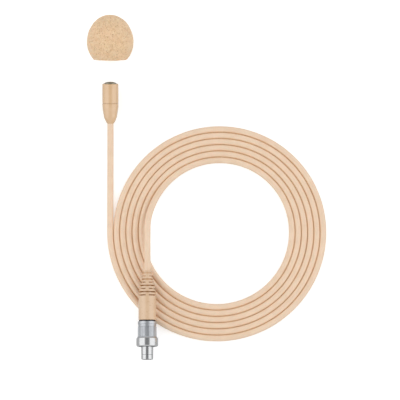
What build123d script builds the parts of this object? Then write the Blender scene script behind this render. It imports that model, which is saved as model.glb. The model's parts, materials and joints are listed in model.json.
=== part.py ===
from build123d import *
from math import cos, hypot, pi, radians, sin, sqrt, tan
import os

os.makedirs("parts", exist_ok=True)

# A miniature microphone lies on a table: its foam windscreen, its head and its lead are in one line
# along +Y, and the lead ends in a flat coil and a locking plug. Millimetres, +Z up, the table is Z = 0.
# The origin is on the table under the middle of the head and the windscreen.

# ---------------------------------------------------------------- driving dimensions

# cable and coil
cable_dia = 1.85
coil_pitch = cable_dia           # neighbouring turns touch
coil_turns = 6                   # each turn is two half circles about two centres
outer_turn_r = 31.62             # centreline of the outermost half turn
coil_y = -48.17                  # both centres of the coil
turn_steps = 16                  # sides of the polygon that one turn is rounded from
coil_gap = 0.3                   # between the wound turns and the part of the cord that lies along them

# head
head_tilt = 12.5                 # degrees, the inlet looks up
head_r = 2.4
sleeve_len = 5.8                 # front sleeve, from the rim to the seam
head_len = 11.85                 # rim to the cable exit
tail_r = 1.05
seam = 0.03                      # half the gap at a seam
seam_chamfer = 0.05
inlet_r = 1.785
grille_rise = 0.55               # how far the middle of the grille's dome stands out of the rim
grille_edge = 0.22               # and its edge
lip_len = 0.4
sleeve_bore_r = 2.08

# windscreen
foam_r = 6.97                    # across the axis, at the widest section
foam_front = 8.25                # from the widest section forward to the tip
foam_back = 7.4                  # the same back to where the ball would end without its flat foot
foam_foot = 5.2                  # from the widest section back to the flat foot
foam_bore_r = 2.45
foam_bore_len = 7.6
foam_ahead = 12.3                # from the head's rim forward to the widest section

# plug, as distances along its axis from the rear of the strain relief; it lies level across the coil
plug_y = -60.06                  # rear end of the strain relief
rest_gap = 0.1                   # between the boot and the turns that it lies on
relief_len = 7.73
boot_r = 2.6
boot_end = 14.64
grip_r = 2.78
grip_start = 15.0
grip_end = 19.5
knurl_start = 16.57
collar_r = 3.225
collar_start = 19.93
collar_end = 22.45
nose_r = 1.785
nose_seam = 24.85
nose_end = 26.25
slot_width = 0.42
slot_pitch = 0.943
slot_count = 8
first_slot = 0.69
bridge_width = 0.95
knurl_count = 36
contact_count = 3

# clearances
run_gap = 0.05                   # radial, where the coupling nut turns
fit_gap = 0.03                   # between pieces that are fixed to each other

# ---------------------------------------------------------------- places worked out from them

tilt = radians(head_tilt)
foam_z = hypot(foam_r * cos(tilt), foam_back * sin(tilt))
foam_reach = hypot(foam_front * cos(tilt), foam_r * sin(tilt))
foam_y = ((foam_ahead + head_len) * cos(tilt) + tail_r * sin(tilt) - foam_reach) / 2

# the head's plane: its Z runs back from the middle of the rim along the head's axis
rim = Vector(0, foam_y - foam_ahead * cos(tilt), foam_z - foam_ahead * sin(tilt))
head = Plane(origin=rim, x_dir=(1, 0, 0), z_dir=(0, -cos(tilt), -sin(tilt)))
head_profile = Plane(origin=rim, x_dir=head.x_dir, z_dir=-head.y_dir)

# the plug's plane: its Z runs forward along the plug's axis
plug_x = coil_turns * coil_pitch
plug_z = cable_dia + rest_gap + boot_r
plug_rear = Vector(plug_x, plug_y, plug_z)
plug = Plane(origin=plug_rear, x_dir=(1, 0, 0), z_dir=(0, -1, 0))
plug_profile = Plane(origin=plug_rear, x_dir=plug.x_dir, z_dir=-plug.y_dir)

# the two centres of the coil
cord_z = cable_dia / 2
bottom_centre = Vector(outer_turn_r, coil_y, cord_z)
top_centre = bottom_centre + Vector(coil_pitch / 2, 0, 0)


# ---------------------------------------------------------------- helpers

def save(part, name):
    part.label = name
    export_step(part, f"parts/{name}.step")


def turned(profile_plane, points):
    """A piece turned about the plane's Y axis from (radius, distance) points."""
    with BuildPart() as piece:
        with BuildSketch(profile_plane):
            with BuildLine():
                Polyline(*points, close=True)
            make_face()
        revolve(axis=Axis(profile_plane.origin, profile_plane.y_dir))
    return piece


def ring(profile_plane, inner, outer, start, end):
    """A plain ring, or a disc where inner is 0."""
    return turned(profile_plane, [(inner, start), (outer, start), (outer, end), (inner, end)])


def elliptic_quarter(radius, reach, middle):
    """A quarter of an ellipse in a profile, from its end on the axis out to its widest point."""
    bulge = 4 * (sqrt(2) - 1) / 3
    end = middle + reach
    return Bezier((0, end), (bulge * radius, end), (radius, middle + bulge * reach), (radius, middle))


def corner_radii(points):
    """The largest arc that the two runs at each corner allow."""
    radii = []
    for before, corner, after in zip(points, points[1:], points[2:]):
        run_in = Vector(*corner) - Vector(*before)
        run_out = Vector(*after) - Vector(*corner)
        half_turn = radians(run_in.get_angle(run_out)) / 2
        radii.append(0.45 * min(run_in.length, run_out.length) / tan(half_turn))
    return radii


def tube(points, radius):
    """A round tube along straight runs joined by tangent arcs."""
    radii = corner_radii(points)
    with BuildPart() as piece:
        with BuildLine() as route:
            FilletPolyline(*points, radius=radii)
        path = route.wire()
        with BuildSketch(Plane(origin=path @ 0, z_dir=path % 0)):
            Circle(radius)
        sweep(path=path)
    return piece, path.length, radii


def save_cord(points, name):
    """A stretch of the cord, with its length, its tightest arc and a check of its volume."""
    piece, length, radii = tube(points, cable_dia / 2)
    volume_ratio = piece.part.volume / (pi * cable_dia ** 2 / 4 * length)
    print(name, "length", round(length, 2), "volume ratio", round(volume_ratio, 4))
    print(name, "arc radii", [round(r, 1) for r in radii])
    save(piece.part, name)
    return length


def wires(name, frame_plane, wire_r, routes):
    """Several thin wires in one node, each along points of the given plane."""
    with BuildPart() as group:
        for route_points in routes:
            points = [frame_plane.from_local_coords(Vector(*p)) for p in route_points]
            with BuildLine() as route:
                FilletPolyline(*points, radius=[3.6 * wire_r] * (len(points) - 2))
            path = route.wire()
            with BuildSketch(Plane(origin=path @ 0, z_dir=path % 0)):
                Circle(wire_r)
            sweep(path=path)
    save(group.part, name)


# ---------------------------------------------------------------- windscreen

foam_foot_at = foam_foot - foam_ahead
bore_bottom_at = foam_foot_at - foam_bore_len

with BuildPart() as windscreen:
    with BuildSketch(head_profile):
        with BuildLine():
            ball = elliptic_quarter(foam_r, -foam_front, -foam_ahead)
            heel = elliptic_quarter(foam_r, foam_back, -foam_ahead)
            Line(ball @ 0, heel @ 0)
        make_face()
        with Locations((0, foam_foot_at)):
            Rectangle(foam_r, foam_back, align=(Align.MIN, Align.MIN), mode=Mode.SUBTRACT)
        with Locations((0, bore_bottom_at)):
            Rectangle(foam_bore_r, foam_front + foam_back, align=(Align.MIN, Align.MIN), mode=Mode.SUBTRACT)
    revolve(axis=Axis(rim, head_profile.y_dir))
    bore_ends = windscreen.edges().filter_by(GeomType.CIRCLE).group_by(SortBy.RADIUS)[0]
    fillet(bore_ends, 0.3)
save(windscreen.part, "windscreen")
windscreen_travel = foam_bore_len + (foam_ahead - foam_foot) - grille_rise - 0.1
print("windscreen travel", round(windscreen_travel, 3))

# ---------------------------------------------------------------- head, outside

with BuildPart() as front_sleeve:
    with BuildSketch(head_profile):
        with BuildLine():
            Polyline((inlet_r, 0.12), (inlet_r + 0.12, 0), (head_r, 0),
                     (head_r, sleeve_len - seam - seam_chamfer),
                     (head_r - seam_chamfer, sleeve_len - seam), (sleeve_bore_r, sleeve_len - seam),
                     (sleeve_bore_r, lip_len), (inlet_r, lip_len), close=True)
        make_face()
    revolve(axis=Axis(rim, head_profile.y_dir))
    outer_rims = front_sleeve.edges().filter_by(GeomType.CIRCLE).group_by(SortBy.RADIUS)[-1]
    fillet(outer_rims.sort_by(Axis(rim, -head.z_dir))[-1], 0.3)
save(front_sleeve.part, "front_sleeve")

housing_start = sleeve_len + seam
spigot_start = 4.6
spigot_bore_r = 1.7
anchor_bore_r = 1.33
anchor_start = 8.4
anchor_end = 11.05
cable_bore_r = cable_dia / 2 + fit_gap

with BuildPart() as rear_housing:
    with BuildSketch(head_profile):
        with BuildLine():
            Polyline((head_r - seam_chamfer, housing_start), (head_r, housing_start + seam_chamfer),
                     (head_r, housing_start + 0.6))
            Spline((head_r, housing_start + 0.6), (2.1, 8.95), (1.86, 10.2), (1.42, 11.2), (tail_r, head_len),
                   tangents=[(0, 1), (-0.75, 1)])
            Line((tail_r, head_len), (cable_bore_r, head_len))
            Line((cable_bore_r, head_len), (cable_bore_r, anchor_end))
            Line((cable_bore_r, anchor_end), (anchor_bore_r, anchor_end))
            Line((anchor_bore_r, anchor_end), (anchor_bore_r, anchor_start))
            Line((anchor_bore_r, anchor_start), (spigot_bore_r, anchor_start - 0.4))
            Line((spigot_bore_r, anchor_start - 0.4), (spigot_bore_r, spigot_start))
            Line((spigot_bore_r, spigot_start), (sleeve_bore_r - fit_gap, spigot_start))
            Line((sleeve_bore_r - fit_gap, spigot_start), (sleeve_bore_r - fit_gap, housing_start))
            Line((sleeve_bore_r - fit_gap, housing_start), (head_r - seam_chamfer, housing_start))
        make_face()
    revolve(axis=Axis(rim, head_profile.y_dir))
save(rear_housing.part, "rear_housing")

# the grille is a domed cap with a flange behind the sleeve's lip
dome_r = inlet_r - 0.045
grille_wall = 0.14
flange_r = sleeve_bore_r - fit_gap
flange_back = lip_len + 0.03 + 0.17
hole_r = 0.15
hole_ring_step = 0.46

with BuildPart() as inlet_grille:
    with BuildSketch(head_profile):
        with BuildLine():
            ThreePointArc((0, -grille_rise), (0.95, -0.47), (dome_r, -grille_edge))
            Polyline((dome_r, -grille_edge), (dome_r, lip_len + 0.03), (flange_r, lip_len + 0.03),
                     (flange_r, flange_back), (dome_r - grille_wall, flange_back),
                     (dome_r - grille_wall, grille_wall - grille_edge))
            ThreePointArc((dome_r - grille_wall, grille_wall - grille_edge),
                          (0.88, grille_wall - 0.47), (0, grille_wall - grille_rise))
            Line((0, grille_wall - grille_rise), (0, -grille_rise))
        make_face()
    revolve(axis=Axis(rim, head_profile.y_dir))
    with BuildSketch(head.offset(-1)):
        Circle(hole_r)
        for ring_number in (1, 2, 3):
            with PolarLocations(hole_ring_step * ring_number, 6 * ring_number):
                Circle(hole_r)
    extrude(amount=2, mode=Mode.SUBTRACT)
save(inlet_grille.part, "inlet_grille")

# ---------------------------------------------------------------- head, capsule and wiring

can_r = sleeve_bore_r - fit_gap
can_front = 1.06
can_back = 3.9
can_wall = 0.17
stack_r = can_r - can_wall - fit_gap

inlet_membrane = ring(head_profile, 0, flange_r, flange_back + 0.02, flange_back + 0.09)
save(inlet_membrane.part, "inlet_membrane")
inlet_gasket = ring(head_profile, 1.5, flange_r, flange_back + 0.11, can_front - 0.02)
save(inlet_gasket.part, "inlet_gasket")

with BuildPart() as capsule_can:
    with BuildSketch(head_profile):
        with BuildLine():
            Polyline((0, can_front), (can_r, can_front), (can_r, can_back), (1.55, can_back),
                     (1.55, can_back - 0.13), (can_r - can_wall, can_back - 0.13),
                     (can_r - can_wall, can_front + 0.2), (0, can_front + 0.2), close=True)
        make_face()
    revolve(axis=Axis(rim, head_profile.y_dir))
    with BuildSketch(head.offset(can_front - 0.5)):
        Circle(0.2)
        with PolarLocations(0.9, 6):
            Circle(0.2)
    extrude(amount=1, mode=Mode.SUBTRACT)
save(capsule_can.part, "capsule_can")

diaphragm_ring = ring(head_profile, 1.55, stack_r, 1.28, 1.48)
save(diaphragm_ring.part, "diaphragm_ring")
diaphragm = ring(head_profile, 0, stack_r, 1.5, 1.54)
save(diaphragm.part, "diaphragm")
spacer_ring = ring(head_profile, 1.6, stack_r, 1.56, 1.64)
save(spacer_ring.part, "spacer_ring")

with BuildPart() as backplate:
    with BuildSketch(head.offset(1.66)):
        Circle(1.75)
        with PolarLocations(0.85, 4):
            Circle(0.15, mode=Mode.SUBTRACT)
    extrude(amount=0.3)
save(backplate.part, "backplate")

backplate_holder = ring(head_profile, 1.4, stack_r, 1.98, 3.28)
save(backplate_holder.part, "backplate_holder")
preamp_board = ring(head_profile, 0, stack_r, 3.3, 3.7)
save(preamp_board.part, "preamp_board")

with BuildPart() as preamp_transistor:
    with BuildSketch(head.offset(2.72)):
        Rectangle(0.9, 0.7)
    extrude(amount=0.56)
    chamfer(preamp_transistor.faces().sort_by(Axis(rim, head.z_dir))[0].edges(), 0.08)
save(preamp_transistor.part, "preamp_transistor")

capsule_cushion = ring(head_profile, 1.5, can_r, can_back + 0.03, spigot_start - 0.03)
save(capsule_cushion.part, "capsule_cushion")
head_cable_end = ring(head_profile, 0, cable_dia / 2, 8.3, head_len)
save(head_cable_end.part, "head_cable_end")
head_ferrule = ring(head_profile, cable_bore_r, anchor_bore_r - fit_gap, 8.5, 9.5)
save(head_ferrule.part, "head_ferrule")
tail_seal = ring(head_profile, cable_bore_r, anchor_bore_r - fit_gap, 9.55, anchor_end - 0.03)
save(tail_seal.part, "tail_seal")
wires("head_wires", head, 0.15,
      [[(side * 0.3, 0, 8.28), (side * 0.3, 0, 6.9), (side * 0.75, 0, 5.3), (side * 0.75, 0, 3.72)]
       for side in (-1, 1)])

# ---------------------------------------------------------------- cord

# polygon corners of the half turns, 22.5 degrees apart, outside the circle that they are rounded to
step = 2 * pi / turn_steps
half_steps = turn_steps // 2


def half_turn(centre, radius, start_angle):
    corner_r = radius / cos(step / 2)
    angles = [start_angle + step * (n + 0.5) for n in range(half_steps)]
    return [(centre.X + corner_r * cos(a), centre.Y + corner_r * sin(a)) for a in angles]


exit_at = rim + head.z_dir * head_len
landing = (exit_at.Z - cord_z) / tan(tilt)

# the lead leaves the tail along the head's axis, lands on the table and runs straight to the coil
lead_points = [
    (0, exit_at.Y, exit_at.Z),
    (0, exit_at.Y - landing, cord_z),
    (0, coil_y, cord_z),
]
lead_length = save_cord(lead_points, "cable_lead")

# the coil's envelope: a flat band whose two edges step by one pitch where the cord enters and leaves
outer_bottom = outer_turn_r + cable_dia / 2
outer_top = outer_turn_r - coil_pitch / 2 + cable_dia / 2 - coil_gap / 2
inner_bottom = outer_turn_r - (coil_turns - 1) * coil_pitch - cable_dia / 2
inner_top = inner_bottom + coil_pitch / 2 + coil_gap

with BuildPart() as cable_coil:
    with BuildSketch():
        for centre, sign, outer, inner in ((bottom_centre, -1, outer_bottom, inner_bottom),
                                           (top_centre, 1, outer_top, inner_top)):
            with BuildLine():
                CenterArc((centre.X, centre.Y), outer, 0, sign * 180)
                CenterArc((centre.X, centre.Y), inner, 0, sign * 180)
                Line((centre.X + inner, centre.Y), (centre.X + outer, centre.Y))
                Line((centre.X - outer, centre.Y), (centre.X - inner, centre.Y))
            make_face()
    extrude(amount=cable_dia)
save(cable_coil.part, "cable_coil")

# the tail: the innermost half turn, which leaves the table past its top and rises over the coil to the plug
tail_turn_r = outer_turn_r - (coil_turns - 0.5) * coil_pitch
tail_heights = [cord_z] * 5 + [1.0, 1.6, 3.15]
tail_points = [(top_centre.X + tail_turn_r, coil_y, cord_z)]
for (x, y), z in zip(half_turn(top_centre, tail_turn_r, 0), tail_heights):
    tail_points.append((x, y, z))
tail_points += [
    (plug_x, plug_y + 9.8, plug_z - 0.49),
    (plug_x, plug_y + 4.0, plug_z),
    (plug_x, plug_y, plug_z),
]
tail_length = save_cord(tail_points, "cable_tail")

coil_length = sum(
    pi * (outer_turn_r - n * coil_pitch / 2) for n in range(2 * coil_turns - 1)
)
print("cord length", round(lead_length + coil_length + tail_length, 1))

# ---------------------------------------------------------------- plug, rear

sleeve_core_r = 1.14
nut_bore_start = 8.6
nut_tube_r = 2.15
nut_tube_bore_r = 1.88

with BuildPart() as bend_relief:
    with BuildSketch(plug_profile):
        with BuildLine():
            Line((cable_bore_r, 0), (1.3, 0))
            Spline((1.3, 0), (1.62, 2.4), (2.12, 4.2), (2.46, 6.1), (boot_r, relief_len),
                   tangents=[(0.1, 1), (0, 1)])
            Polyline((boot_r, relief_len), (boot_r, boot_end), (nut_tube_r + fit_gap, boot_end),
                     (nut_tube_r + fit_gap, nut_bore_start), (cable_bore_r, nut_bore_start), (cable_bore_r, 0))
        make_face()
    revolve(axis=Axis(plug_rear, plug_profile.y_dir))
    for slot in range(slot_count):
        with BuildSketch(plug.offset(first_slot + slot * slot_pitch - slot_width / 2)):
            Circle(boot_r + 1)
            Circle(sleeve_core_r + 0.07 * slot, mode=Mode.SUBTRACT)
            if slot % 2 == 0:
                Rectangle(2 * boot_r + 2, bridge_width, mode=Mode.SUBTRACT)
            else:
                Rectangle(bridge_width, 2 * boot_r + 2, mode=Mode.SUBTRACT)
        extrude(amount=slot_width, mode=Mode.SUBTRACT)
    boot_rims = bend_relief.edges().filter_by(GeomType.CIRCLE).group_by(SortBy.RADIUS)[-1]
    fillet(boot_rims.sort_by(Axis(plug_rear, plug.z_dir))[-1], 0.2)
save(bend_relief.part, "bend_relief")

# the back nut closes on the collet and shows as a groove between the boot and the grip
back_nut = turned(plug_profile, [
    (1.35, 8.75), (nut_tube_r, 8.75), (nut_tube_r, boot_end + 0.04), (2.45, boot_end + 0.04),
    (2.45, grip_start - 0.06), (nut_tube_bore_r, grip_start - 0.06), (nut_tube_bore_r, 12.2), (1.35, 9.2)])
save(back_nut.part, "back_nut")

with BuildPart() as cable_collet:
    with BuildSketch(plug_profile):
        with BuildLine():
            Polyline((cable_bore_r, 9.5), (1.3, 9.5), (1.72, 11.9), (1.72, 12.4), (cable_bore_r, 12.4),
                     close=True)
        make_face()
    revolve(axis=Axis(plug_rear, plug_profile.y_dir))
    with BuildSketch(plug.offset(9.4)):
        Rectangle(5, 0.2)
        Rectangle(0.2, 5)
    extrude(amount=2.2, mode=Mode.SUBTRACT)
save(cable_collet.part, "cable_collet")

plug_cable_end = ring(plug_profile, 0, cable_dia / 2, 0, 13.2)
save(plug_cable_end.part, "plug_cable_end")
plug_ferrule = ring(plug_profile, cable_bore_r, 1.25, 12.45, 13.2)
save(plug_ferrule.part, "plug_ferrule")

# ---------------------------------------------------------------- plug, front

body_r = 2.1
body_tail_r = nut_tube_bore_r - fit_gap
body_bore_r = 1.5
shank_r = 1.6                    # the part of the nose that is held inside the body
nose_bore_r = 1.45
ring_groove_r = 1.9
ring_groove = (18.0, 18.3)
washer_groove = (15.9, 16.5)

with BuildPart() as connector_body:
    with BuildSketch(plug_profile):
        with BuildLine():
            Polyline((body_bore_r, 12.6), (body_tail_r, 12.6), (body_tail_r, grip_start),
                     (2.35, grip_start), (2.35, grip_start + 0.35), (body_r, grip_start + 0.35),
                     (body_r, washer_groove[0]), (ring_groove_r, washer_groove[0]),
                     (ring_groove_r, washer_groove[1]), (body_r, washer_groove[1]),
                     (body_r, ring_groove[0]), (ring_groove_r, ring_groove[0]),
                     (ring_groove_r, ring_groove[1]), (body_r, ring_groove[1]),
                     (body_r, 20.6), (shank_r + fit_gap, 20.6), (shank_r + fit_gap, 19.2), (body_bore_r, 19.2),
                     close=True)
        make_face()
    revolve(axis=Axis(plug_rear, plug_profile.y_dir))
save(connector_body.part, "connector_body")

# the nose is a shell and a rim, with a fine seam between them
nose_shell = turned(plug_profile, [
    (nose_bore_r, 19.23), (shank_r, 19.23), (shank_r, collar_end + 0.05), (nose_r, collar_end + 0.05),
    (nose_r, nose_seam - 0.06), (nose_r - 0.06, nose_seam), (nose_bore_r, nose_seam)])
save(nose_shell.part, "nose_shell")

with BuildPart() as nose_ring:
    with BuildSketch(plug_profile):
        with BuildLine():
            Polyline((nose_bore_r, nose_seam + 0.02), (nose_r - 0.06, nose_seam + 0.02),
                     (nose_r, nose_seam + 0.08), (nose_r, nose_end), (nose_bore_r, nose_end), close=True)
        make_face()
    revolve(axis=Axis(plug_rear, plug_profile.y_dir))
    nose_rims = nose_ring.edges().filter_by(GeomType.CIRCLE).group_by(SortBy.RADIUS)[-1]
    fillet(nose_rims.sort_by(Axis(plug_rear, plug.z_dir))[-1], 0.15)
save(nose_ring.part, "nose_ring")

# the insulator fills the nose up to just behind its rim, with a keyway along one side
insert_r = nose_bore_r - fit_gap
insert_start = 19.6
insert_end = nose_end - 0.25
contact_circle_r = 0.72
contact_r = 0.27

with BuildPart() as contact_insert:
    with BuildSketch(plug.offset(insert_start)):
        Circle(insert_r)
        with Locations((0, insert_r)):
            Rectangle(0.5, 0.5, mode=Mode.SUBTRACT)
        with PolarLocations(contact_circle_r, contact_count, start_angle=30):
            Circle(contact_r + 0.02, mode=Mode.SUBTRACT)
    extrude(amount=insert_end - insert_start)
save(contact_insert.part, "contact_insert")

with BuildPart() as contact_sockets:
    with BuildSketch(plug.offset(18.4)):
        with PolarLocations(contact_circle_r, contact_count, start_angle=30):
            Circle(contact_r)
    extrude(amount=insert_end - 0.05 - 18.4)
    with BuildSketch(plug.offset(insert_end - 2.2)):
        with PolarLocations(contact_circle_r, contact_count, start_angle=30):
            Circle(0.14)
    extrude(amount=3, mode=Mode.SUBTRACT)
save(contact_sockets.part, "contact_sockets")

wires("solder_wires", plug, 0.13, [
    [(0.3 * cos(a), 0.3 * sin(a), 13.22), (0.3 * cos(a), 0.3 * sin(a), 14.8),
     (contact_circle_r * cos(a), contact_circle_r * sin(a), 16.4),
     (contact_circle_r * cos(a), contact_circle_r * sin(a), 18.38)]
    for a in [radians(30 + 360 / contact_count * n) for n in range(contact_count)]])

wire_shield = ring(plug_profile, 1.2, body_bore_r - fit_gap, 13.4, 19.18)
save(wire_shield.part, "wire_shield")

# ---------------------------------------------------------------- coupling nut

grip_bore_r = 2.4 + run_gap
nut_bore_r = body_r + run_gap
inner_ring_r = 2.3
collar_neck_r = 2.5

with BuildPart() as coupling_grip:
    with BuildSketch(plug_profile):
        with BuildLine():
            Polyline((grip_bore_r, grip_start + 0.02), (grip_r, grip_start + 0.02), (grip_r, 15.8),
                     (grip_r - 0.13, 15.9), (grip_r - 0.13, knurl_start - 0.1), (grip_r, knurl_start),
                     (grip_r, grip_end),
                     (collar_r - 0.12, collar_start - 0.02), (collar_neck_r + fit_gap, collar_start - 0.02),
                     (collar_neck_r + fit_gap, 18.4), (inner_ring_r, 18.4), (inner_ring_r, 17.95),
                     (nut_bore_r, 17.95), (nut_bore_r, 15.45), (grip_bore_r, 15.45), close=True)
        make_face()
    revolve(axis=Axis(plug_rear, plug_profile.y_dir))
    # the knurl is a band of straight flutes cut into the grip
    with BuildSketch(plug.offset(knurl_start)):
        with PolarLocations(grip_r + 0.06, knurl_count):
            Rectangle(0.22, 0.22, rotation=45)
    extrude(amount=grip_end - knurl_start - 0.12, mode=Mode.SUBTRACT)
save(coupling_grip.part, "coupling_grip")

thread_r = 2.6
thread_start = 20.7
thread_depth = 0.12
thread_pitch = 0.48

with BuildPart() as coupling_collar:
    with BuildSketch(plug_profile):
        with BuildLine():
            Polyline((inner_ring_r, 18.45), (collar_neck_r, 18.45), (collar_neck_r, collar_start),
                     (collar_r - 0.1, collar_start), (collar_r, collar_start + 0.1),
                     (collar_r, collar_end), (thread_r, collar_end),
                     (thread_r, thread_start), (inner_ring_r, thread_start), close=True)
        make_face()
        for groove in range(3):
            with BuildLine():
                at = thread_start + 0.2 + groove * thread_pitch
                Polyline((thread_r, at), (thread_r + thread_depth, at + 0.15), (thread_r, at + 0.3), close=True)
            make_face(mode=Mode.SUBTRACT)
    revolve(axis=Axis(plug_rear, plug_profile.y_dir))
    collar_rims = coupling_collar.edges().filter_by(GeomType.CIRCLE).group_by(SortBy.RADIUS)[-1]
    fillet(collar_rims.sort_by(Axis(plug_rear, plug.z_dir))[-1], 0.45)
save(coupling_collar.part, "coupling_collar")

# a split ring in the body's groove keeps the nut on, and a soft ring keeps it from rattling
with BuildPart() as nut_retaining_ring:
    with BuildSketch(plug.offset(ring_groove[0] + 0.03)):
        Circle(2.22)
        Circle(ring_groove_r + fit_gap, mode=Mode.SUBTRACT)
        with Locations((0, -body_r)):
            Rectangle(0.7, 1.2, mode=Mode.SUBTRACT)
    extrude(amount=ring_groove[1] - ring_groove[0] - 0.06)
save(nut_retaining_ring.part, "nut_retaining_ring")

nut_friction_ring = ring(plug_profile, ring_groove_r + fit_gap, body_r,
                         washer_groove[0] + 0.04, washer_groove[1] - 0.04)
save(nut_friction_ring.part, "nut_friction_ring")
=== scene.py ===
"""Looks of a miniature microphone with its foam windscreen, a coiled lead and a locking plug.

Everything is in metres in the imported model's frame: +Z up, the table is Z = 0. Piece builders work in
millimetres along the axis of the head or of the plug, and placed() turns them into metres.
"""
import json
from math import atan2, cos, pi, radians, sin, tan

import bpy
from mathutils import Matrix, Vector, noise


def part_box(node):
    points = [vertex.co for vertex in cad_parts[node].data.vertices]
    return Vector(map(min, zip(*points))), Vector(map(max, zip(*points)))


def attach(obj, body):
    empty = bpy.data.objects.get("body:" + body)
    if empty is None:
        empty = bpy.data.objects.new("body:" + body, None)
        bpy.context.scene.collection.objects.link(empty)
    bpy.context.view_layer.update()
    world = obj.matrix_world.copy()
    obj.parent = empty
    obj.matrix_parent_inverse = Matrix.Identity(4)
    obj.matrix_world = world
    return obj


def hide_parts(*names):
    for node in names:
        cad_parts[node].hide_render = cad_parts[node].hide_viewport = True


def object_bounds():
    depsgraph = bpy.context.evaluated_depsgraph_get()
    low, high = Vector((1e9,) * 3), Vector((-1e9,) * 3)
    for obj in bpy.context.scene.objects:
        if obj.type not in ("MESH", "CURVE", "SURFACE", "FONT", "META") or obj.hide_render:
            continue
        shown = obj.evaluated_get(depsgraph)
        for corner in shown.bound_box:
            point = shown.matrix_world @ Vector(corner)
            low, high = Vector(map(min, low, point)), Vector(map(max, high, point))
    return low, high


MM = 0.001

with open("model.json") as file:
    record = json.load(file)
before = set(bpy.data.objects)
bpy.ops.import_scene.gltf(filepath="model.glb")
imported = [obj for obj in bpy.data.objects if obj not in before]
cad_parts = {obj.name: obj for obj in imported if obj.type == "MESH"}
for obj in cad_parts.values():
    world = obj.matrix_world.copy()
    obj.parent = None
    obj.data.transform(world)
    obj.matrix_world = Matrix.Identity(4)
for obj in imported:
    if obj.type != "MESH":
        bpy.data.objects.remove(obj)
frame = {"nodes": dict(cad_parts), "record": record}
cad_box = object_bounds()
nodes = frame["nodes"]
mounts = {mount["name"]: mount for mount in frame["record"]["mounts"]}

# ---------------------------------------------------------------- places

# head: its axis points forward to the windscreen, and the sleeve's mount lies behind the rim
SLEEVE_MOUNT_BEHIND_RIM = 3.4 * MM
HEAD_LENGTH = 11.85 * MM
head_forward = Vector(mounts["head_sleeve"]["axis"])
rim = Vector(mounts["head_sleeve"]["pos_m"]) + head_forward * SLEEVE_MOUNT_BEHIND_RIM
cord_exit = rim - head_forward * HEAD_LENGTH

# plug: it lies level along Y
plug_lo, plug_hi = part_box("bend_relief")
plug_x = (plug_lo.x + plug_hi.x) / 2
plug_y = plug_hi.y
plug_z = (plug_lo.z + plug_hi.z) / 2

# coil: two centres half a pitch apart, one for the half turns below and one for those above
CABLE_DIAMETER = 1.85 * MM
COIL_TURNS = 6
OUTER_TURN_RADIUS = 31.62 * MM
COIL_Y = -48.17 * MM
TURN_STEPS = 16
TAIL_RISE = [1.0 * MM, 1.6 * MM, 3.15 * MM]
TAIL_BEND = 9.8 * MM
TAIL_BEND_DROP = 0.49 * MM
TAIL_STRAIGHT = 4.0 * MM
cable_z = CABLE_DIAMETER / 2
pitch = CABLE_DIAMETER


def srgb(red, green, blue, alpha=1.0):
    """A colour as it shows on screen, from 0 to 255, in Blender's linear values."""
    linear = [((c / 255 + 0.055) / 1.055) ** 2.4 if c > 10 else c / 3294.6 for c in (red, green, blue)]
    return (*linear, alpha)


# ---------------------------------------------------------------- camera

CAMERA_ELEVATION = 84
CAMERA_DISTANCE = 1.0
FRAME_WIDTH = 118.9 * MM
FRAME_CENTRE = Vector((26.66, -38.65, 1.0)) * MM


def make_camera():
    camera_data = bpy.data.cameras.new("camera")
    camera_data.sensor_width = 36
    camera_data.lens = camera_data.sensor_width * CAMERA_DISTANCE / FRAME_WIDTH
    camera = bpy.data.objects.new("camera", camera_data)
    bpy.context.scene.collection.objects.link(camera)
    lean = radians(90 - CAMERA_ELEVATION)
    camera.rotation_euler = (lean, 0, 0)
    camera.location = FRAME_CENTRE + Vector((0, -sin(lean), cos(lean))) * CAMERA_DISTANCE
    bpy.context.scene.camera = camera


# ---------------------------------------------------------------- cord

def half_turn(centre_x, radius, start_angle):
    """Corners of the polygon round half a turn, which the spline touches in the middle of each side."""
    step = 2 * pi / TURN_STEPS
    corner_radius = radius / cos(step / 2)
    angles = [start_angle + step * (n + 0.5) for n in range(TURN_STEPS // 2)]
    return [(centre_x + corner_radius * cos(a), COIL_Y + corner_radius * sin(a)) for a in angles]


def cord_route():
    bottom_x = OUTER_TURN_RADIUS
    top_x = bottom_x + pitch / 2
    slope = tan(atan2(head_forward.z, head_forward.y))
    landing = (cord_exit.z - cable_z) / slope
    first_side = OUTER_TURN_RADIUS * tan(pi / TURN_STEPS)

    # the lead comes down from the head's tail and lies straight
    route = [
        tuple(cord_exit),
        (0, cord_exit.y - landing, cable_z),
        (0, cord_exit.y - 2 * landing, cable_z),
        (0, COIL_Y + first_side, cable_z),
    ]
    # the coil, from its outermost half turn inwards
    for n in range(2 * COIL_TURNS - 1):
        centre_x, start_angle = (bottom_x, pi) if n % 2 == 0 else (top_x, 0)
        radius = OUTER_TURN_RADIUS - n * pitch / 2
        route += [(x, y, cable_z) for x, y in half_turn(centre_x, radius, start_angle)]
    # the innermost half turn, which rises over the others to the plug
    tail_radius = OUTER_TURN_RADIUS - (COIL_TURNS - 0.5) * pitch
    level = [cable_z] * (TURN_STEPS // 2 - len(TAIL_RISE))
    route += [(x, y, z) for (x, y), z in zip(half_turn(top_x, tail_radius, 0), level + TAIL_RISE)]
    route += [
        (plug_x, plug_y + TAIL_BEND, plug_z - TAIL_BEND_DROP),
        (plug_x, plug_y + TAIL_STRAIGHT, plug_z),
        (plug_x, plug_y, plug_z),
    ]
    return route


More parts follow.
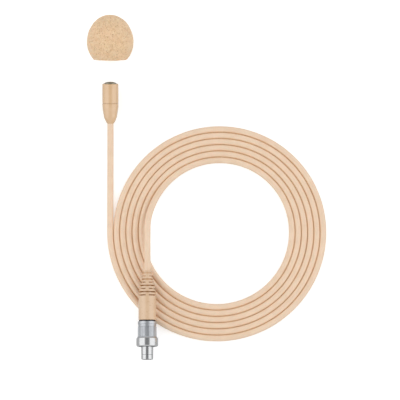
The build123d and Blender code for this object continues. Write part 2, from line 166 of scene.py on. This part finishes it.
def make_cord():
    curve = bpy.data.curves.new("lead_cord", "CURVE")
    curve.dimensions = "3D"
    spline = curve.splines.new("NURBS")
    route = cord_route()
    spline.points.add(len(route) - 1)
    for point, place in zip(spline.points, route):
        point.co = (*place, 1)
    spline.order_u = 3
    spline.use_endpoint_u = True
    spline.resolution_u = 12
    curve.bevel_depth = CABLE_DIAMETER / 2
    curve.bevel_resolution = 6
    cord = bpy.data.objects.new("lead_cord", curve)
    bpy.context.scene.collection.objects.link(cord)
    return cord


# ---------------------------------------------------------------- mesh helpers

def placed(origin, forward):
    """Turns local millimetres, Z along forward and X across, into the frame's metres."""
    across = Vector((1, 0, 0))
    up = forward.cross(across)
    turn = Matrix((across, up, forward)).transposed().to_4x4()
    return Matrix.Translation(origin) @ turn @ Matrix.Scale(MM, 4)


def link_mesh(name, points, faces):
    mesh = bpy.data.meshes.new(name)
    mesh.from_pydata([tuple(p) for p in points], [], faces)
    mesh.validate()
    mesh.polygons.foreach_set("use_smooth", [True] * len(mesh.polygons))
    mesh.update()
    piece = bpy.data.objects.new(name, mesh)
    bpy.context.scene.collection.objects.link(piece)
    return piece


def lathe(profile, segments):
    """Points and faces of a profile of (radius, z) turned round Z; both ends lie on the axis."""
    points = [Vector((0, 0, profile[0][1]))]
    for radius, z in profile[1:-1]:
        for k in range(segments):
            angle = 2 * pi * k / segments
            points.append(Vector((radius * cos(angle), radius * sin(angle), z)))
    points.append(Vector((0, 0, profile[-1][1])))
    rings = len(profile) - 2
    last = len(points) - 1
    faces = []
    for k in range(segments):
        after = (k + 1) % segments
        faces.append((0, 1 + k, 1 + after))
        for r in range(rings - 1):
            a = 1 + r * segments
            b = a + segments
            faces.append((a + k, b + k, b + after, a + after))
        end = 1 + (rings - 1) * segments
        faces.append((last, end + after, end + k))
    return points, faces


# ---------------------------------------------------------------- windscreen

FOAM_RADIUS = 6.97
FOAM_FRONT = 8.25
FOAM_BACK = 7.4
FOAM_FOOT = 5.2
FOAM_AHEAD = 12.3
BORE_RADIUS = 2.45
BORE_LENGTH = 7.6
FOOT_ROUNDING = 0.45
FOOT_ROUNDING_DEPTH = 0.27
MOUTH_ROUNDING = 0.4
MOUTH_DEPTH_SHARE = 0.3
NOSE_CURVE = 1.45                  # length of the front's curve for each unit of its reach
RING_SPACING = 0.115
RING_SEGMENTS = 360
BORE_RINGS = 19
CELL = 0.44
CELL_WALL = 0.06                   # share of a cell taken by its wall
CELL_SLOPE = 0.5                   # share over which its side falls to the bottom
PORE_DEPTH = 0.17
SWELL_DEPTH = 0.10


def foam_profile():
    """(radius, z, depth share) from the tip round to the bottom of the bore.

    z is forward from the widest section, and the depth share says how much of the pores shows there.
    """
    profile = []
    count = int(FOAM_FRONT * NOSE_CURVE / RING_SPACING)
    for n in range(count):
        a = pi / 2 * n / count
        profile.append((FOAM_RADIUS * sin(a), FOAM_FRONT * cos(a), 1))
    # the heel, back to the rounded edge of the foot
    heel = FOAM_FOOT - FOOT_ROUNDING_DEPTH
    foot_radius = FOAM_RADIUS * (1 - (heel / FOAM_BACK) ** 2) ** 0.5
    count = int(FOAM_FOOT / RING_SPACING)
    for n in range(count):
        z = -heel * n / count
        profile.append((FOAM_RADIUS * (1 - (z / FOAM_BACK) ** 2) ** 0.5, z, 1))
    edge_radius = foot_radius - FOOT_ROUNDING
    for n in range(7):
        a = pi / 2 * n / 6
        profile.append((edge_radius + FOOT_ROUNDING * cos(a), -heel - FOOT_ROUNDING_DEPTH * sin(a), 1))
    # the foot, in to the rounded mouth of the bore
    mouth = BORE_RADIUS + MOUTH_ROUNDING
    count = int((edge_radius - mouth) / RING_SPACING)
    for n in range(1, count):
        profile.append((edge_radius + (mouth - edge_radius) * n / count, -FOAM_FOOT, 1))
    for n in range(6):
        a = pi / 2 * n / 5
        z = -FOAM_FOOT + MOUTH_ROUNDING * (1 - cos(a))
        profile.append((mouth - MOUTH_ROUNDING * sin(a), z, MOUTH_DEPTH_SHARE))
    # the bore
    bore_start = -FOAM_FOOT + MOUTH_ROUNDING
    for n in range(1, BORE_RINGS + 1):
        profile.append((BORE_RADIUS, bore_start + (BORE_LENGTH - MOUTH_ROUNDING) * n / BORE_RINGS, 0))
    for radius in (2.0, 1.4, 0.7, 0):
        profile.append((radius, -FOAM_FOOT + BORE_LENGTH, 0))
    return profile


def pore(place):
    """How far a point of the foam's skin lies down in a cell, from 0 on its walls to 1."""
    distances, cells = noise.voronoi(place / CELL)
    middle = min(1, max(0, (distances[1] - distances[0] - CELL_WALL) / CELL_SLOPE))
    depth = 0.45 + 0.55 * noise.cell(cells[0] * 7.3)
    return middle * middle * (3 - 2 * middle) * depth


def make_windscreen():
    profile = foam_profile()
    points, faces = lathe([(radius, z) for radius, z, _ in profile], RING_SEGMENTS)
    shares = [1] + [share for _, _, share in profile[1:-1] for _ in range(RING_SEGMENTS)] + [0]
    piece = link_mesh("foam_windscreen", points, faces)
    mesh = piece.data
    normals = [vertex.normal.copy() for vertex in mesh.vertices]
    pits = []
    for vertex, normal, share in zip(mesh.vertices, normals, shares):
        pit = pore(vertex.co + Vector((20, 20, 20))) if share else 0
        swell = 0.5 + 0.5 * noise.noise(vertex.co * 0.55)
        pits.append(pit)
        vertex.co -= normal * share * (PORE_DEPTH * pit + SWELL_DEPTH * swell)
    # the depth of each point in its pore, also used by the foam material for painted shade in the pores
    attribute = mesh.attributes.new("pit", "FLOAT", "POINT")
    attribute.data.foreach_set("value", pits)
    mesh.transform(placed(rim + head_forward * FOAM_AHEAD * MM, head_forward))
    mesh.update()
    return piece


# ---------------------------------------------------------------- material helpers

def set_stops(color_ramp, *stops):
    """Gives a colour ramp these (position, colour or grey) stops, in rising order."""
    elements = color_ramp.elements
    while len(elements) < len(stops):
        elements.new(0.5)
    for element, (position, colour) in zip(elements, stops):
        element.position = position
        element.color = colour if isinstance(colour, tuple) else (colour, colour, colour, 1)


class Nodes:
    """A material's node tree, built a node at a time."""

    def __init__(self, name):
        self.material = bpy.data.materials.new(name)
        self.material.use_nodes = True
        self.tree = self.material.node_tree
        self.shader = self.tree.nodes["Principled BSDF"]
        self.coordinates = self.add("ShaderNodeTexCoord").outputs["Object"]

    def add(self, kind, **inputs):
        node = self.tree.nodes.new(kind)
        for name, value in inputs.items():
            self.put(node.inputs[name.replace("_", " ")], value)
        return node

    def put(self, socket, value):
        if isinstance(value, bpy.types.NodeSocket):
            self.tree.links.new(value, socket)
        else:
            socket.default_value = value

    def set(self, **inputs):
        for name, value in inputs.items():
            self.put(self.shader.inputs[name.replace("_", " ")], value)

    def noise(self, size, detail=3, stretch=(1, 1, 1)):
        """Noise whose lumps are about size millimetres across, finer along an axis with more stretch."""
        mapping = self.add("ShaderNodeMapping", Vector=self.coordinates)
        mapping.inputs["Scale"].default_value = stretch
        node = self.add("ShaderNodeTexNoise", Vector=mapping.outputs["Vector"], Scale=1 / (size * MM),
                        Detail=detail)
        return node.outputs["Fac"]

    def ramp(self, factor, *stops):
        """A colour or grey for each (position, colour) along the factor."""
        node = self.add("ShaderNodeValToRGB", Fac=factor)
        set_stops(node.color_ramp, *stops)
        return node.outputs["Color"]

    def mix(self, factor, first, second, blend="MIX"):
        node = self.add("ShaderNodeMix")
        node.data_type = "RGBA"
        node.blend_type = blend
        self.put(node.inputs[0], factor)
        self.put(node.inputs[6], first)
        self.put(node.inputs[7], second)
        return node.outputs[2]

    def bump(self, height, distance, strength=1.0):
        """Bump of that many millimetres."""
        node = self.add("ShaderNodeBump", Height=height, Strength=strength, Distance=distance * MM)
        return node.outputs["Normal"]


# how far the ambient occlusion looks for the painted crevice shade
CREVICE_SHADE_REACH = 0.9 * MM


def finish_node(material, *names):
    for name in names:
        mesh = nodes[name].data
        mesh.materials.clear()
        mesh.materials.append(material)


def moulded(name, colour, darker, roughness, coat=0.0, specular=0.5, subsurface=0.0, crevice_shade=None):
    """Plastic, rubber or paint: faint mottling, a fine grain, uneven gloss and painted shade in crevices."""
    m = Nodes(name)
    surface = m.ramp(m.noise(2.5, 4), (0.35, darker), (0.65, colour))
    # painted shade: where ambient occlusion finds the surface closed in, as in grooves and slots, the base
    # colour is mixed towards the given darker colour
    if crevice_shade:
        openness = m.add("ShaderNodeAmbientOcclusion", Distance=CREVICE_SHADE_REACH)
        openness.samples = 8
        surface = m.mix(m.ramp(openness.outputs["AO"], (0.3, 1.0), (0.8, 0.0)), surface, crevice_shade)
    m.set(Base_Color=surface, Specular_IOR_Level=specular)
    m.set(Roughness=m.ramp(m.noise(0.6, 5), (0.3, roughness * 0.85), (0.7, min(1, roughness * 1.15))))
    m.set(Normal=m.bump(m.noise(0.12, 2), 0.004))
    m.set(Coat_Weight=coat, Coat_Roughness=0.15)
    if subsurface:
        m.set(Subsurface_Weight=subsurface, Subsurface_Scale=0.0004, Subsurface_Radius=(1.0, 0.5, 0.3))
    return m.material


def metal(name, colour, roughness, stretch=(1, 1, 1)):
    """Plated metal: lathe marks or fine scratches, and stains that change its gloss."""
    m = Nodes(name)
    marks = m.noise(0.3, 3, stretch)
    stained = tuple(c * 0.94 for c in colour[:3]) + (1,)
    m.set(Base_Color=m.ramp(m.noise(1.2, 4), (0.3, stained), (0.7, colour)))
    m.set(Metallic=1.0)
    m.set(Roughness=m.ramp(marks, (0.3, roughness * 0.8), (0.7, roughness * 1.25)))
    m.set(Normal=m.bump(marks, 0.0015))
    return m.material


def foam_material():
    m = Nodes("open_cell_foam")
    pit = m.add("ShaderNodeAttribute")
    pit.attribute_name = "pit"
    skin = m.ramp(m.noise(0.9, 5), (0.3, srgb(234, 200, 160)), (0.7, srgb(245, 217, 181)))
    cells = m.add("ShaderNodeTexVoronoi", Vector=m.coordinates, Scale=1 / (0.2 * MM))
    fine = m.ramp(cells.outputs["Distance"], (0.15, srgb(196, 152, 108)), (0.55, srgb(255, 255, 255)))
    speckled = m.mix(0.45, skin, fine, "MULTIPLY")
    # painted shade: the deeper a point lies in a pore, the more its colour goes to a dark brown
    depth = m.ramp(pit.outputs["Fac"], (0.1, 0.0), (0.9, 0.55))
    m.set(Base_Color=m.mix(depth, speckled, srgb(176, 132, 90)))
    m.set(Roughness=0.95, Specular_IOR_Level=0.2, Sheen_Weight=0.25, Sheen_Roughness=0.5)
    m.set(Subsurface_Weight=0.25, Subsurface_Scale=0.0006, Subsurface_Radius=(1.0, 0.6, 0.35))
    m.set(Normal=m.bump(m.noise(0.11, 3), 0.03, 0.8))
    return m.material


# ---------------------------------------------------------------- make the pieces

make_camera()

CABLE_BEIGE = srgb(241, 214, 187)
CABLE_BEIGE_DARKER = srgb(236, 208, 180)

cord = make_cord()
# painted shade: the grooves between the coil's turns are tinted darker by the crevice colour
cord.data.materials.append(moulded("cable_jacket", CABLE_BEIGE, CABLE_BEIGE_DARKER, 0.42, subsurface=0.1,
                                   crevice_shade=srgb(240, 206, 168)))
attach(cord, "microphone")
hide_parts("cable_lead", "cable_coil", "cable_tail")

windscreen = make_windscreen()
windscreen.data.materials.append(foam_material())
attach(windscreen, "windscreen")
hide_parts("windscreen")

# ---------------------------------------------------------------- finishes of the turned and moulded parts

finish_node(moulded("housing_paint", srgb(224, 186, 142), srgb(219, 180, 135), 0.24, coat=1.0, specular=1.0),
            "front_sleeve", "rear_housing")
finish_node(metal("grille_metal", srgb(168, 163, 146), 0.45), "inlet_grille")
finish_node(moulded("cable_core", CABLE_BEIGE, CABLE_BEIGE_DARKER, 0.5), "head_cable_end", "plug_cable_end")
# painted shade: the slots between the boot's ribs get a dark golden-brown colour
finish_node(moulded("boot_rubber", srgb(223, 190, 155), srgb(218, 183, 147), 0.3, coat=0.8, specular=0.8,
                    crevice_shade=srgb(204, 146, 62)), "bend_relief")
finish_node(metal("blackened_metal", srgb(60, 60, 64), 0.4), "back_nut", "nut_retaining_ring")
finish_node(metal("nickel_turned", srgb(193, 196, 200), 0.36, (1, 12, 1)), "coupling_grip", "connector_body")
finish_node(metal("nickel_polished", srgb(204, 205, 206), 0.16, (1, 12, 1)),
            "coupling_collar", "nose_shell", "nose_ring")
finish_node(metal("contact_plating", srgb(226, 184, 104), 0.25), "contact_sockets")
finish_node(metal("turned_brass", srgb(206, 172, 100), 0.3, (1, 12, 1)),
            "diaphragm_ring", "backplate", "head_ferrule", "cable_collet", "plug_ferrule")
finish_node(metal("drawn_aluminium", srgb(210, 211, 214), 0.35), "capsule_can")
finish_node(moulded("black_insulator", srgb(38, 38, 40), srgb(30, 30, 32), 0.5),
            "contact_insert", "spacer_ring", "backplate_holder", "preamp_transistor", "wire_shield")
finish_node(moulded("soft_black_rubber", srgb(28, 28, 28), srgb(22, 22, 22), 0.8),
            "inlet_gasket", "capsule_cushion", "tail_seal", "nut_friction_ring")
finish_node(moulded("thin_film", srgb(214, 212, 206), srgb(206, 204, 198), 0.2),
            "inlet_membrane", "diaphragm")
finish_node(moulded("solder_mask", srgb(30, 92, 54), srgb(24, 80, 46), 0.35), "preamp_board")
finish_node(moulded("wire_insulation", srgb(178, 44, 38), srgb(164, 38, 34), 0.45),
            "head_wires", "solder_wires")

# ---------------------------------------------------------------- studio

GREY_BELOW = 0.65
GREY_AROUND = 0.85
GREY_OVERHEAD = 0.3
SOFTBOX_POWER = 3.0
SOFTBOX_ASIDE = 0.8
SOFTBOX_UP = 0.46
SOFTBOX_LENGTH = 1.5
SOFTBOX_WIDTH = 1.15
FLOOR_GLOW = 0.35


def make_floor():
    half = 3.0
    floor = link_mesh("floor", [(-half, -half, 0), (half, -half, 0), (half, half, 0), (-half, half, 0)],
                      [(0, 1, 2, 3)])
    m = Nodes("pale_floor")
    m.set(Base_Color=m.ramp(m.noise(30, 3), (0.3, srgb(250, 250, 250)), (0.7, srgb(252, 252, 252))))
    m.set(Roughness=0.9, Specular_IOR_Level=0.1, Emission_Color=(1, 1, 1, 1), Emission_Strength=FLOOR_GLOW)
    floor.data.materials.append(m.material)
    # the floor doesn't light the object from below, so its undersides stay darker than the table
    floor.visible_diffuse = False
    floor.visible_glossy = False


def area_light(name, place, target, length, width, power):
    data = bpy.data.lights.new(name, "AREA")
    data.shape = "RECTANGLE"
    data.size = length
    data.size_y = width
    data.energy = power
    light = bpy.data.objects.new(name, data)
    bpy.context.scene.collection.objects.link(light)
    light.location = place
    light.rotation_euler = (Vector(target) - Vector(place)).to_track_quat("-Z", "Y").to_euler()


def make_world():
    """Grey below, brighter above and dim straight overhead."""
    world = bpy.data.worlds.new("studio")
    bpy.context.scene.world = world
    world.use_nodes = True
    tree = world.node_tree
    direction = tree.nodes.new("ShaderNodeTexCoord").outputs["Generated"]
    parts = tree.nodes.new("ShaderNodeSeparateXYZ")
    tree.links.new(direction, parts.inputs[0])
    ramp = tree.nodes.new("ShaderNodeValToRGB")
    tree.links.new(parts.outputs["Z"], ramp.inputs["Fac"])
    set_stops(ramp.color_ramp, (0.0, GREY_BELOW), (0.25, GREY_AROUND), (0.88, GREY_AROUND),
              (0.96, GREY_OVERHEAD))
    background = tree.nodes["Background"]
    tree.links.new(ramp.outputs["Color"], background.inputs["Color"])
    background.inputs["Strength"].default_value = 1.0


middle = (cad_box[0] + cad_box[1]) / 2
make_floor()
for side in (-1, 1):
    place = middle + Vector((side * SOFTBOX_ASIDE, 0, SOFTBOX_UP))
    area_light(f"softbox_{side}", place, middle, SOFTBOX_LENGTH, SOFTBOX_WIDTH, SOFTBOX_POWER)
make_world()
bpy.context.scene.view_settings.view_transform = "Standard"
